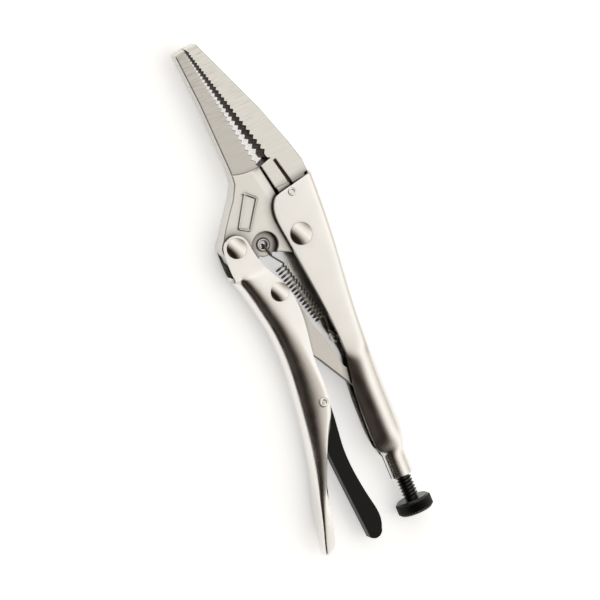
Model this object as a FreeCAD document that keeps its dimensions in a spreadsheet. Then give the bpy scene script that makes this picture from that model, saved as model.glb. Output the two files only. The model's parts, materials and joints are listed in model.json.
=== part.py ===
import FreeCAD, Part
import math
import os
from FreeCAD import Rotation, Vector

# Locking pliers with long tapered jaws, closed and locked.
# The model is drawn about the main rivet: +X runs to the jaw tips, +Y to the
# movable handle and +Z along the rivets.  At the end every sub-part is moved
# together so that the origin is the bottom centre of the whole tool lying flat.

doc = FreeCAD.newDocument("locking_pliers")

DIMENSIONS = {
    # thicknesses through the tool, measured from the middle plane
    "jaw_half": 4.7,
    "jaw_tip_half": 3.6,
    "jaw_nose_half": 4.3,
    "side_gap": 0.3,
    "wall": 2.3,
    "grip_half": 8.9,
    "link_half": 4.0,
    "lever_half": 3.2,
    "ear_half": 1.5,
    # pivots
    "jaw_pivot_x": 5.8,
    "jaw_pivot_y": 28.5,
    "link_pivot_x": -19.0,
    "link_pivot_y": 18.5,
    "lever_pin_x": -70.2,
    "lever_pin_y": 19.3,
    "jaw_pin_x": 18.1,
    "jaw_pin_y": -3.2,
    "axis_y": -2.2,
    "foot_x": -73.0,
    "foot_radius": 3.5,
    "link_boss": 4.4,
    # jaws
    "tip_x": 92.0,
    "tip_y": 15.4,
    "tooth_root_x": 35.5,
    "fixed_root_y": 0.4,
    "movable_root_y": 5.6,
    "tip_gap": 0.5,
    "fixed_tip_width": 5.2,
    "movable_tip_width": 4.6,
    "fine_pitch": 1.3,
    "coarse_pitch": 2.9,
    "cutter_rise": 4.2,
    "cutter_slope": 4.3,
    "wheel_x": 58.0,
    "wheel_y": 8.5,
    "wheel_radius": 25.0,
    "groove_start_x": 33.4,
    "groove_start_y": -2.0,
    "groove_end_x": 19.0,
    "groove_end_y": -5.4,
    "groove_width": 1.1,
    "groove_depth": 0.8,
    "hub_radius": 8.5,
    "hub_gap": 0.7,
    "lug_radius": 5.7,
    "ear_x": 1.5,
    "ear_y": 16.0,
    "ear_radius": 5.2,
    "ear_hole_radius": 1.7,
    # rivets and pins
    "main_shank": 3.2,
    "main_head": 4.85,
    "jaw_shank": 3.0,
    "jaw_head": 4.45,
    "link_shank": 2.8,
    "link_head": 4.2,
    "head_rise": 1.5,
    "cheek_step": 0.3,
    "lever_pin_radius": 2.0,
    "jaw_pin_radius": 1.75,
    "pin_sink": 0.2,
    "pivot_play": 0.05,
    # spring
    "spring_radius": 2.6,
    "wire_radius": 0.4,
    "spring_pitch": 1.85,
    "spring_turns": 16.0,
    "spring_start": 10.5,
    "hook_radius": 3.2,
    "small_hook_radius": 1.9,
    "anchor_x": -48.0,
    "anchor_y": 2.0,
    "tab_radius": 2.4,
    "tab_hole_radius": 1.25,
    "tab_half": 1.2,
    # adjusting screw
    "screw_radius": 3.5,
    "thread_depth": 0.65,
    "thread_pitch": 1.25,
    "thread_end_x": -123.0,
    "foot_gap": 1.6,
    "screw_play": 0.08,
    "neck_radius": 5.2,
    "neck_start_x": -103.0,
    "neck_end_x": -115.0,
    "neck_slot": 1.4,
    "knob_radius": 8.0,
    "knob_start_x": -126.0,
    "knob_length": 6.0,
}

sheet = doc.addObject("Spreadsheet::Sheet", "Dims")
for row, (alias, number) in enumerate(DIMENSIONS.items(), start=1):
    sheet.set("A%d" % row, str(number))
    sheet.setAlias("A%d" % row, alias)
doc.recompute()


def dim(alias):
    """The number kept in the sheet under this alias."""
    return float(getattr(sheet, alias))


def bind(item, **formulas):
    """Tie an object's properties to formulas in the sheet's aliases."""
    for name, formula in formulas.items():
        item.setExpression(name.replace("__", "."), formula)


def feature(label, shape):
    """A sub-part whose shape is worked out from the sheet's numbers."""
    item = doc.addObject("Part::Feature", label)
    item.Label = label
    item.Shape = shape
    return item


# ---------------------------------------------------------------- shapes

def flat(x, y, z=0.0):
    return Vector(x, y, z)


def prism(wire, half):
    """A plate cut to a closed outline, reaching as far above as below."""
    plate = Part.Face(wire).extrude(Vector(0, 0, 2.0 * half))
    plate.translate(Vector(0, 0, -half))
    return plate


def polygon(points):
    corners = [flat(x, y) for x, y in points]
    return Part.makePolygon(corners + corners[:1])


def disc(x, y, radius, half):
    return Part.makeCylinder(radius, 2.0 * half, Vector(x, y, -half))


def curve(points):
    spline = Part.BSplineCurve()
    spline.interpolate([flat(x, y) for x, y in points])
    return spline.toShape()


def line(start, end):
    return Part.LineSegment(flat(*start), flat(*end)).toShape()


def channel_section(x, web, mouth, half, bend):
    """Outline of a channel in the plane at x: a flat web and two cheeks."""
    turn = 1.0 if mouth > web else -1.0
    flank = web + turn * bend
    inside = half - bend
    lean = bend * (1.0 - math.sqrt(0.5))
    upper = Part.Arc(Vector(x, flank, half),
                     Vector(x, web + turn * lean, half - lean),
                     Vector(x, web, inside))
    lower = Part.Arc(Vector(x, web, -inside),
                     Vector(x, web + turn * lean, lean - half),
                     Vector(x, flank, -half))
    edges = [Part.LineSegment(Vector(x, mouth, half), Vector(x, flank, half)),
             upper,
             Part.LineSegment(Vector(x, web, inside), Vector(x, web, -inside)),
             lower,
             Part.LineSegment(Vector(x, flank, -half), Vector(x, mouth, -half)),
             Part.LineSegment(Vector(x, mouth, -half), Vector(x, mouth, half))]
    return Part.Wire([edge.toShape() for edge in edges])


def channel(stations, mouth):
    """A pressed channel: the space inside an outer skin less an inner one."""
    wall = dim("wall")
    outer = []
    inner = []
    for x, web, half, bend in stations:
        turn = 1.0 if mouth > web else -1.0
        outer.append(channel_section(x, web, mouth, half, bend))
        inner.append(channel_section(x, web + turn * wall, mouth + turn,
                                     half - wall, max(bend - wall, 0.6)))
    skin = Part.makeLoft(outer, True, True)
    return skin.cut(Part.makeLoft(inner, True, True))


# ---------------------------------------------------------------- handles

def cheek_half():
    """Outer half width of the flat cheeks that straddle the jaws."""
    return dim("jaw_half") + dim("side_gap") + dim("wall")


def fixed_outline():
    """Side outline of the fixed handle, from the nose back to the neck."""
    floor_y = -20.0
    rear_x = dim("neck_start_x") - 1.5
    open_edge = [(19.3, 2.9), (15.2, 7.0), (9.5, 8.1), (1.1, 6.6), (-19.0, 4.3),
                 (-39.6, 2.1), (-54.2, 1.8), (-70.6, 4.5), (-92.4, 5.4),
                 (-99.5, 5.2), (rear_x, dim("axis_y") + dim("neck_radius"))]
    rear = open_edge[-1]
    edges = [line((22.6, floor_y), (21.6, -3.7)),
             line((21.6, -3.7), open_edge[0]),
             curve(open_edge),
             line(rear, (rear_x, floor_y)),
             line((rear_x, floor_y), (22.6, floor_y))]
    return Part.Wire(edges)


def fixed_handle():
    cheek = cheek_half()
    grip = dim("grip_half")
    neck = dim("neck_radius")
    axis_y = dim("axis_y")
    stations = [(26.0, -15.3, cheek, 3.0), (0.0, -14.2, cheek, 3.0),
                (-23.0, -11.9, cheek, 3.2), (-44.0, -10.0, cheek, 3.4),
                (-53.0, -9.7, cheek + 0.1, 3.8), (-59.0, -9.7, grip - 0.2, 5.4),
                (-72.0, -9.7, grip, 6.4), (-92.0, -9.7, grip - 0.1, 6.4),
                (-98.0, -9.2, grip - 0.9, 6.0),
                (-105.0, axis_y - neck, neck, neck - 0.4)]
    body = channel(stations, 14.0).common(prism(fixed_outline(), grip + 2.0))
    start = dim("neck_start_x")
    end = dim("neck_end_x")
    backwards = Vector(-1, 0, 0)
    neck_tube = Part.makeCylinder(neck, start - end, Vector(start, axis_y, 0), backwards)
    bore = Part.makeCylinder(dim("screw_radius") + dim("screw_play"),
                             start - end + 4.0, Vector(start + 2.0, axis_y, 0), backwards)
    slot = dim("neck_slot")
    seam = Part.makeBox(start - end + 4.0, neck + 2.0, slot,
                        Vector(end - 2.0, axis_y, -slot / 2.0))
    body = body.fuse(neck_tube).cut(bore).cut(seam)
    body = body.fuse(spring_tab())
    cuts = [disc(0, 0, dim("main_shank"), 20.0),
            disc(dim("jaw_pin_x"), dim("jaw_pin_y"), dim("jaw_pin_radius"), 20.0),
            disc(dim("anchor_x"), dim("anchor_y"), dim("tab_hole_radius"), 20.0)]
    for cut in cuts:
        body = body.cut(cut)
    return feature("fixed_handle", body.removeSplitter())


def spring_tab():
    """Tongue struck up from the web, with the hole that holds the spring."""
    radius = dim("tab_radius")
    top = dim("anchor_y")
    root = -9.0
    stem = Part.makeBox(2.0 * radius, top - root, 2.0 * dim("tab_half"),
                        Vector(dim("anchor_x") - radius, root, -dim("tab_half")))
    return stem.fuse(disc(dim("anchor_x"), top, radius, dim("tab_half")))


def movable_outline():
    """Side outline of the movable handle: lug, back, tip and open edge."""
    px = dim("jaw_pivot_x")
    py = dim("jaw_pivot_y")
    reach = dim("lug_radius") - 0.3
    back = [(px - 1.0, py + reach), (-7.2, 34.3), (-25.7, 30.2), (-40.8, 28.1),
            (-57.8, 28.6), (-83.7, 32.1), (-110.0, 37.9), (-130.4, 43.2)]
    front = [(-129.0, 37.2), (-120.5, 35.6), (-110.9, 33.6), (-100.0, 29.9), (-86.9, 23.8), (-77.5, 18.4),
             (-69.0, 15.9), (-50.4, 16.0), (-38.0, 13.9), (-25.9, 12.9), (-15.0, 15.8),
             (-4.3, 20.8), (px + 0.5, py - reach)]
    nose = Part.Arc(flat(*front[-1]), flat(px + reach, py), flat(*back[0])).toShape()
    tip = Part.Arc(flat(*back[-1]), flat(-132.9, 40.6), flat(*front[0])).toShape()
    return Part.Wire([curve(back), tip, curve(front), nose])


def movable_handle():
    cheek = cheek_half()
    raised = cheek + dim("cheek_step")
    stations = [(14.0, 40.0, cheek, 3.0), (-4.8, 34.8, cheek, 3.0),
                (-8.2, 33.8, raised, 3.2), (-27.0, 29.7, raised, 4.0),
                (-41.0, 27.9, cheek + 0.9, 4.8), (-58.0, 28.4, 8.5, 5.4),
                (-84.0, 31.9, 8.5, 5.4), (-105.0, 36.5, 8.0, 5.0),
                (-121.0, 40.4, 6.9, 4.4), (-131.0, 42.9, 5.2, 3.9),
                (-137.0, 44.4, 3.6, 3.2)]
    body = channel(stations, 2.0).common(prism(movable_outline(), 12.0))
    px = dim("jaw_pivot_x")
    py = dim("jaw_pivot_y")
    heel_room = disc(px, py, 12.8, cheek - dim("wall"))
    cuts = [heel_room,
            disc(px, py, dim("jaw_shank"), 20.0),
            disc(dim("link_pivot_x"), dim("link_pivot_y"), dim("link_shank"), 20.0),
            disc(dim("lever_pin_x"), dim("lever_pin_y"), dim("lever_pin_radius"), 20.0)]
    for cut in cuts:
        body = body.cut(cut)
    return feature("movable_handle", body.removeSplitter())


# ---------------------------------------------------------------- jaws

def teeth(tip, root, side):
    """Zigzag from the tip to the root, coarser towards the root."""
    run = math.dist(tip, root)
    along = ((root[0] - tip[0]) / run, (root[1] - tip[1]) / run)
    across = (-along[1] * side, along[0] * side)
    fine = dim("fine_pitch")
    growth = (dim("coarse_pitch") - fine) / run
    points = [tip]
    place = fine
    while place + fine + growth * place < run:
        pitch = fine + growth * place
        for step, depth in ((0.5, 0.5 * pitch), (1.0, 0.0)):
            reach = place + step * pitch
            points.append((tip[0] + along[0] * reach + across[0] * depth,
                           tip[1] + along[1] * reach + across[1] * depth))
        place += pitch
    points.append(root)
    return points


def nose_flats(root_x):
    """Two wedges that leave the nose tapering in thickness to its tip."""
    tip = dim("tip_x") + 5.0
    base = dim("jaw_nose_half")
    thin = dim("jaw_tip_half")
    top = dim("jaw_half") + 5.0
    profile = [(root_x, base), (tip, thin), (tip, top), (root_x, top)]
    corners = [Vector(x, -40.0, z) for x, z in profile]
    wedge = Part.Face(Part.makePolygon(corners + corners[:1])).extrude(Vector(0, 100.0, 0))
    return [wedge, wedge.mirror(Vector(0, 0, 0), Vector(0, 0, 1))]


def wheel_reach():
    """Where the grinding wheel reached: a round end, then the whole nose."""
    wheel = disc(dim("wheel_x"), dim("wheel_y"), dim("wheel_radius"), 20.0)
    rest = Part.makeBox(100.0, 100.0, 40.0, Vector(dim("wheel_x") - 12.0, -40.0, -20.0))
    return wheel.fuse(rest)


def cutter_bevel(start, end, side, low, reach):
    """Prisms that slope a jaw's edge down to this half width at its cutter."""
    run = math.dist(start, end)
    along = Vector((end[0] - start[0]) / run, (end[1] - start[1]) / run, 0)
    across = Vector(-along.y * side, along.x * side, 0)
    half = dim("jaw_half")
    slope = (half - low) / reach
    bevels = []
    for sign in (1.0, -1.0):
        edge = flat(*start) + across * -0.5
        corners = [edge + Vector(0, 0, (low - 0.5 * slope) * sign),
                   edge + across * (reach + 1.5) + Vector(0, 0, (half + slope) * sign),
                   edge + Vector(0, 0, (half + slope) * sign)]
        face = Part.Face(Part.makePolygon(corners + corners[:1]))
        bevels.append(face.extrude(along * run))
    return bevels


def cutter_groove():
    """Grooves that set the fixed jaw's cutter apart from its nose."""
    start = flat(dim("groove_start_x"), dim("groove_start_y"))
    end = flat(dim("groove_end_x"), dim("groove_end_y"))
    width = dim("groove_width")
    half = dim("jaw_nose_half")
    depth = dim("groove_depth")
    run = end.sub(start)
    across = Vector(-run.y, run.x, 0).normalize() * (width / 2.0)
    corners = [start - across, end - across, end + across, start + across]
    slot = Part.Face(Part.makePolygon(corners + corners[:1])).extrude(Vector(0, 0, 5.0))
    upper = slot.translated(Vector(0, 0, half - depth))
    lower = slot.translated(Vector(0, 0, depth - half - 5.0))
    return [upper, lower]


def fixed_jaw():
    tip = (dim("tip_x"), dim("tip_y"))
    root = (dim("tooth_root_x"), dim("fixed_root_y"))
    gullet = (root[0] - 2.4, root[1] + dim("cutter_rise"))
    inner_back = -14.2 + dim("wall") + 0.35
    cutter_end = (9.0, gullet[1] - dim("cutter_slope"))
    points = teeth(tip, root, 1.0)
    points += [(root[0] - 0.8, root[1] - 1.2), gullet, cutter_end,
               (8.0, inner_back), (22.9, inner_back - 0.6), (22.9, -13.6), (28.5, -13.4),
               (38.3, -10.7), (55.8, -4.9), (70.1, 0.9),
               (tip[0] + 0.4, tip[1] - dim("fixed_tip_width"))]
    body = prism(polygon(points), dim("jaw_half"))
    hub_room = disc(0, 0, dim("hub_radius") + dim("hub_gap"), 20.0)
    body = body.cut(hub_room)
    for wedge in nose_flats(22.0):
        body = body.cut(wedge)
    for bevel in cutter_bevel(gullet, cutter_end, 1.0, 3.8, 0.6):
        body = body.cut(bevel)
    for groove in cutter_groove():
        body = body.cut(groove)
    body = body.cut(disc(dim("jaw_pin_x"), dim("jaw_pin_y"), dim("jaw_pin_radius"), 20.0))
    return feature("fixed_jaw", body.removeSplitter())


def movable_jaw():
    gap = dim("tip_gap")
    px = dim("jaw_pivot_x")
    py = dim("jaw_pivot_y")
    half = dim("jaw_half")
    tip = (dim("tip_x"), dim("tip_y") + gap)
    root = (dim("tooth_root_x"), dim("movable_root_y"))
    gullet = (root[0] - 2.4, root[1] + dim("cutter_rise") - 4.8)
    cutter_end = (9.0, gullet[1] - dim("cutter_slope"))
    points = teeth(tip, root, -1.0)
    points += [(root[0] - 0.8, root[1] + 0.6), gullet, cutter_end, (8.0, -1.0),
               (-7.4, 4.2), (-3.4, 11.5), (-2.5, 20.5), (-6.4, 26.8), (-5.4, 31.2), (0.5, 33.4),
               (px + 1.5, py + 5.5), (14.7, 29.3), (19.6, 25.6), (24.8, 21.5), (30.7, 18.2),
               (36.5, 17.7), (53.2, 18.3), (68.2, 18.7),
               (tip[0] - 0.9, tip[1] + dim("movable_tip_width"))]
    body = prism(polygon(points), half)
    body = body.fuse(disc(0, 0, dim("hub_radius"), half))
    body = body.fuse(disc(px, py, dim("lug_radius"), half))
    ear_x = dim("ear_x")
    ear_y = dim("ear_y")
    body = body.fuse(disc(ear_x, ear_y, dim("ear_radius"), half))
    for sign in (1.0, -1.0):
        recess = disc(ear_x, ear_y, dim("ear_radius") + 0.6, (half - dim("ear_half")) / 2.0)
        recess.translate(Vector(0, 0, sign * (half + dim("ear_half") + 0.01) / 2.0))
        body = body.cut(recess)
    for wedge in nose_flats(29.0):
        body = body.cut(wedge.common(wheel_reach()))
    for bevel in cutter_bevel(gullet, cutter_end, -1.0, 3.7, 4.2):
        body = body.cut(bevel)
    play = dim("pivot_play")
    cuts = [disc(0, 0, dim("main_shank") + play, 20.0),
            disc(px, py, dim("jaw_shank") + play, 20.0),
            disc(ear_x, ear_y, dim("ear_hole_radius"), 20.0)]
    for cut in cuts:
        body = body.cut(cut)
    return feature("movable_jaw", body.removeSplitter())


# ---------------------------------------------------------------- toggle

def foot_y():
    """The link's foot sits on the axis of the adjusting screw."""
    return dim("axis_y")


def toggle_link():
    """Flat link from the movable handle to the tip of the adjusting screw."""
    hx = dim("link_pivot_x")
    hy = dim("link_pivot_y")
    fx = dim("foot_x")
    fy = foot_y()
    radius = dim("foot_radius")
    half = dim("link_half")
    boss = dim("link_boss")
    points = [(hx + 0.5, hy - boss), (-25.9, 12.2), (-38.6, 9.6), (-46.1, 6.9), (-54.0, 5.4),
              (-60.1, 4.2), (fx + 6.0, fy + 2.0), (fx + 2.6, fy - 1.6), (fx - 1.0, fy + 3.2),
              (-54.0, 12.2), (-47.5, 16.6), (hx - 4.0, hy + 4.2), (hx + 0.5, hy + boss)]
    body = prism(polygon(points), half)
    body = body.fuse(disc(hx, hy, boss, half))
    body = body.fuse(disc(fx, fy, radius, half))
    body = body.cut(disc(hx, hy, dim("link_shank") + dim("pivot_play"), 20.0))
    return feature("toggle_link", body.removeSplitter())


def release_lever():
    """Cranked bar on its pin: a nose over the link and a long thumb pad."""
    px = dim("lever_pin_x")
    py = dim("lever_pin_y")
    upper = [(px + 18.0, py - 1.2), (px + 8.0, py + 2.6), (px - 1.0, py + 3.8),
             (-82.0, 24.2), (-94.8, 24.6), (-105.0, 24.0), (-115.4, 23.2), (-133.4, 21.8)]
    lower = [(-131.5, 15.6), (-126.3, 14.3), (-118.0, 15.4), (-111.0, 16.6), (-92.9, 17.8),
             (-80.0, 16.4), (px, py - 3.4), (px + 10.0, py - 2.9), (px + 19.0, py - 3.0)]
    nose = line(lower[-1], upper[0])
    heel = Part.Arc(flat(*upper[-1]), flat(-134.6, 18.6), flat(*lower[0])).toShape()
    outline = Part.Wire([curve(upper), heel, curve(lower), nose])
    body = prism(outline, dim("lever_half"))
    hole = disc(px, py, dim("lever_pin_radius") + dim("pivot_play"), 20.0)
    return feature("release_lever", body.cut(hole))


# ---------------------------------------------------------------- rivets and pins

def cylinder(name, radius, reach, x, y):
    """A Part cylinder along Z, centred on the middle plane and tied to the sheet."""
    item = doc.addObject("Part::Cylinder", name)
    bind(item, Radius=radius, Height="2 * (%s)" % reach, Placement__Base__x=x,
         Placement__Base__y=y, Placement__Base__z="-(%s)" % reach)
    return item


def dome(name, head, reach, x, y, turned):
    """A rivet head: the cap of a sphere standing on the cheek."""
    item = doc.addObject("Part::Sphere", name)
    ball = "((%s) ^ 2 + Dims.head_rise ^ 2) / (2 * Dims.head_rise)" % head
    if turned:
        item.Placement = FreeCAD.Placement(Vector(), Rotation(Vector(1, 0, 0), 180))
    sign = "-" if turned else ""
    bind(item, Radius=ball, Angle1="asin(1 - Dims.head_rise / (%s))" % ball,
         Placement__Base__x=x, Placement__Base__y=y,
         Placement__Base__z="%s((%s) + Dims.head_rise - %s)" % (sign, reach, ball))
    return item


CHEEK = "Dims.jaw_half + Dims.side_gap + Dims.wall"


def rivet(label, shank, head, x, y, reach=CHEEK):
    """Shank between the cheeks' outer faces with a domed head at each end."""
    pieces = [cylinder(label + "_shank", shank, reach, x, y),
              dome(label + "_top", head, reach, x, y, False),
              dome(label + "_bottom", head, reach, x, y, True)]
    joined = doc.addObject("Part::MultiFuse", label)
    joined.Shapes = pieces
    joined.Label = label
    return joined


def pin(label, radius, reach, x, y):
    item = cylinder(label, radius, reach, x, y)
    item.Label = label
    return item


# ---------------------------------------------------------------- screw

def adjusting_screw():
    """Threaded screw and its knob, turned about the screw's own axis."""
    radius = dim("screw_radius")
    root = radius - dim("thread_depth")
    pitch = dim("thread_pitch")
    tip = dim("foot_x") - dim("foot_radius") - dim("foot_gap")
    knob = dim("knob_radius")
    knob_start = dim("knob_start_x")
    knob_end = knob_start - dim("knob_length")
    rim = 0.6
    profile = [(tip, 0.0), (tip, root - 0.7), (tip - 0.9, root)]
    ridges = int((tip - 1.5 - dim("thread_end_x")) / pitch)
    for ridge in range(ridges):
        start = tip - 1.5 - ridge * pitch
        profile += [(start, root), (start - 0.35 * pitch, radius),
                    (start - 0.5 * pitch, radius), (start - 0.85 * pitch, root)]
    profile += [(knob_start, root), (knob_start, knob - rim), (knob_start - rim, knob),
                (knob_end + rim, knob), (knob_end, knob - rim), (knob_end, 0.0), (tip, 0.0)]
    face = Part.Face(Part.makePolygon([Vector(x, y, 0) for x, y in profile]))
    body = face.revolve(Vector(0, 0, 0), Vector(1, 0, 0), 360.0)
    body.translate(Vector(0, dim("axis_y"), 0))
    return feature("adjusting_screw", body)


# ---------------------------------------------------------------- spring

def return_spring():
    """Tension spring from the movable jaw's ear to the handle's tongue."""
    wire = dim("wire_radius")
    coil = dim("spring_radius") - wire
    pitch = dim("spring_pitch")
    hook = dim("hook_radius")
    small_hook = dim("small_hook_radius")
    eye = flat(dim("ear_x"), dim("ear_y"))
    anchor = flat(dim("anchor_x"), dim("anchor_y"))
    span = eye.distanceToPoint(anchor)
    length = dim("spring_turns") * pitch
    first = dim("spring_start")
    last = first + length
    steps = 8
    path = [Vector(0, 0, 2.0 * small_hook), Vector(0, 0, first - 1.5 * pitch),
            Vector(0.55 * coil, -0.27 * coil, first - 0.5 * pitch)]
    for step in range(int(dim("spring_turns") * steps) + 1):
        turn = 2.0 * math.pi * step / steps
        path.append(Vector(coil * math.cos(turn), coil * math.sin(turn),
                           first + pitch * step / steps))
    path += [Vector(0.55 * coil, 0.27 * coil, last + 0.5 * pitch),
             Vector(0, 0, last + 1.5 * pitch), Vector(0, 0, span - 2.0 * hook)]
    spine = Part.BSplineCurve()
    spine.interpolate(path)
    heading = spine.tangent(spine.FirstParameter)[0]
    section = Part.Wire(Part.Circle(path[0], heading, wire).toShape())
    body = Part.Wire(spine.toShape()).makePipeShell([section], True, True)
    for radius, centre in ((small_hook, small_hook), (hook, span - hook)):
        body = body.fuse(Part.makeTorus(radius, wire, Vector(0, 0, centre), Vector(0, 1, 0)))
    body.Placement = FreeCAD.Placement(anchor, Rotation(Vector(0, 0, 1), eye.sub(anchor)))
    return feature("return_spring", body)


# ---------------------------------------------------------------- assembly

parts = [fixed_handle(), movable_handle(), fixed_jaw(), movable_jaw(), toggle_link(),
         release_lever(), adjusting_screw(), return_spring(),
         rivet("main_rivet", "Dims.main_shank", "Dims.main_head", "0", "0"),
         rivet("jaw_rivet", "Dims.jaw_shank", "Dims.jaw_head",
               "Dims.jaw_pivot_x", "Dims.jaw_pivot_y"),
         rivet("link_rivet", "Dims.link_shank", "Dims.link_head",
               "Dims.link_pivot_x", "Dims.link_pivot_y", CHEEK + " + Dims.cheek_step"),
         pin("lever_pin", "Dims.lever_pin_radius", "Dims.grip_half - 0.3",
             "Dims.lever_pin_x", "Dims.lever_pin_y"),
         pin("jaw_pin", "Dims.jaw_pin_radius", CHEEK + " - Dims.pin_sink",
             "Dims.jaw_pin_x", "Dims.jaw_pin_y")]
doc.recompute()

for item in doc.Objects:
    if "Invalid" in item.State or "Error" in item.State:
        raise RuntimeError("%s did not recompute: %s" % (item.Name, item.State))
for item in parts:
    if item.Shape.isNull() or not item.Shape.isValid():
        raise RuntimeError("%s has no valid shape" % item.Label)

boxes = [item.Shape.optimalBoundingBox(False, False) for item in parts]
to_floor = Vector(-0.5 * (min(box.XMin for box in boxes) + max(box.XMax for box in boxes)),
                  -0.5 * (min(box.YMin for box in boxes) + max(box.YMax for box in boxes)),
                  -min(box.ZMin for box in boxes))
for item in parts:
    item.Placement = FreeCAD.Placement(to_floor, Rotation()).multiply(item.Placement)
    for name, formula in item.ExpressionEngine:
        if "Placement.Base" in name:
            axis = name[-1]
            item.setExpression("Placement.Base." + axis,
                               "(%s) + (%.6f)" % (formula, getattr(to_floor, axis)))
doc.recompute()

print("main rivet at", to_floor)
for item in parts:
    print(item.Label, len(item.Shape.Solids), round(item.Shape.Volume, 1), item.Placement.Base)
os.makedirs("parts", exist_ok=True)
for item in parts:
    item.Shape.exportStep(os.path.join("parts", item.Label + ".step"))
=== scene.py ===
# %% [markdown]
# # Locking pliers
#
# This lesson dresses a working model of long-nose locking pliers in Blender.
# The moving parts come from a imported CAD model, which is called the frame.
# Every piece made here goes exactly where the frame says, and all but the spring
# ride on one of its bodies, so the jaws, the handles, the lever and the screw can all move.

# %% Load the frame
import json
import math

import bmesh
import bpy
from mathutils import Matrix, Vector


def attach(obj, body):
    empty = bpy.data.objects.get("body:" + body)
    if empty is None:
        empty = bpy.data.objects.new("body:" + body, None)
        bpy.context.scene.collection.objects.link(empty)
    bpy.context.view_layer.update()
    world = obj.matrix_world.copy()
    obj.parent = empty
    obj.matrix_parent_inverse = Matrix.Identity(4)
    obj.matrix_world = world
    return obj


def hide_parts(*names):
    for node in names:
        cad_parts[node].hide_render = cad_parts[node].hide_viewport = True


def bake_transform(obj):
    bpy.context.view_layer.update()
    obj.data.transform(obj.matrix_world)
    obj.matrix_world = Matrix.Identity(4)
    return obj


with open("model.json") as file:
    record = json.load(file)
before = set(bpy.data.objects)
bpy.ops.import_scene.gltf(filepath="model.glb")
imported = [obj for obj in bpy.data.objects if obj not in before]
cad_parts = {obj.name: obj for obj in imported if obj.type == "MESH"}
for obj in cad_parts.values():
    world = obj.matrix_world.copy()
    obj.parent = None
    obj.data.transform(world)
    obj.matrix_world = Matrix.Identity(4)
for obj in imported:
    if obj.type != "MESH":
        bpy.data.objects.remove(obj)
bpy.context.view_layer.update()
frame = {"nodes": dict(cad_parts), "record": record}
MM = 0.001

# %% [markdown]
# ## Places
#
# The frame's joints give the places that everything else is measured from.
# The plan of the tool is drawn about its main rivet: x runs to the jaw tips
# and y to the movable handle, both in millimetres, and z is counted from the
# middle plane that all the rivets cross at right angles.

# %% Places taken from the frame
JOINTS = {joint["name"]: joint for joint in frame["record"]["behaviour"]["joints"]}
MAIN = Vector(JOINTS["jaw_pivot"]["pos_m"])
JAW_PIVOT = Vector(JOINTS["handle_pivot"]["pos_m"])
LINK_PIVOT = Vector(JOINTS["link_pivot"]["pos_m"])
LEVER_PIVOT = Vector(JOINTS["lever_pivot"]["pos_m"])
LUG_X, LUG_Y = ((JAW_PIVOT - MAIN) / MM).to_2d()
LINK_X, LINK_Y = ((LINK_PIVOT - MAIN) / MM).to_2d()
LEVER_X, LEVER_Y = ((LEVER_PIVOT - MAIN) / MM).to_2d()


def place(x, y, z=0.0):
    """A point of the plan, in millimetres about the main rivet, in the frame."""
    return MAIN + Vector((x, y, z)) * MM


print("main rivet in mm:", [round(v / MM, 2) for v in MAIN])

# %% [markdown]
# Both jaws bite along one straight line, which climbs a little towards the
# tips.  Several finishes and shapes refer to it, so it is written once.

# %% The biting line
TEETH_START, TEETH_END = 35.5, 92.0
TEETH_Y, TEETH_SLOPE = 0.4, 0.2655
ACROSS_TEETH = Vector((-TEETH_SLOPE, 1.0, 0.0))


def biting_line(x):
    """Plan y of the line where the jaws meet, in millimetres."""
    return TEETH_Y + (x - TEETH_START) * TEETH_SLOPE


print("the jaws meet at y =", round(biting_line(TEETH_END), 1), "mm at the tips")

# %% [markdown]
# ## Camera
#
# The camera looks down on the tool as it lies on a white table, leaning a
# little towards the open side of the handles.  A long lens keeps both ends of
# a long tool at the same scale.  The camera could be turned with angles, but
# a matrix of right, up and back is what a camera really is, and it is easier
# to reason about.

# %% Camera
VIEW_BACK = Vector((0.19, 0.22, 0.957)).normalized()
VIEW_UP = Vector((0.9206, -0.3904, 0.0))
VIEW_UP = (VIEW_UP - VIEW_BACK * VIEW_UP.dot(VIEW_BACK)).normalized()
VIEW_RIGHT = VIEW_UP.cross(VIEW_BACK)
LENS = 600.0
DISTANCE = 4.244
AIM = place(-25.5, 12.0, 9.0)

camera_data = bpy.data.cameras.new("camera")
camera_data.lens = LENS
camera_data.clip_end = 10.0
camera = bpy.data.objects.new("camera", camera_data)
bpy.context.scene.collection.objects.link(camera)
camera.matrix_world = Matrix.Translation(AIM + VIEW_BACK * DISTANCE) @ Matrix(
    (VIEW_RIGHT, VIEW_UP, VIEW_BACK)).transposed().to_4x4()
bpy.context.scene.camera = camera
print("camera at", [round(v, 2) for v in camera.matrix_world.translation], "m")

# %% [markdown]
# ## Tools for materials
#
# Shaders calculate with linear light, while colours are usually written as
# sRGB hex codes.  One function converts between them.


# %% Colour
def colour(hex_code):
    """An sRGB hex colour as linear RGBA."""
    parts = [int(hex_code[i:i + 2], 16) / 255.0 for i in (0, 2, 4)]
    return [c / 12.92 if c <= 0.04045 else ((c + 0.055) / 1.055) ** 2.4 for c in parts] + [1.0]


print("middle grey in linear light:", [round(c, 3) for c in colour("808080")])

# %% [markdown]
# A material is a small machine of nodes.  This function adds one node, sets
# it up and links its inputs, so a material reads like a recipe.


# %% Adding a node
def add(tree, kind, settings=None, links=None):
    """Adds a node: settings are its properties or sockets, links feed its sockets."""
    node = tree.nodes.new(kind)
    for name, value in (settings or {}).items():
        if isinstance(name, str) and hasattr(node, name):
            setattr(node, name, value)
        else:
            node.inputs[name].default_value = value
    for name, socket in (links or {}).items():
        tree.links.new(socket, node.inputs[name])
    return node


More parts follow.
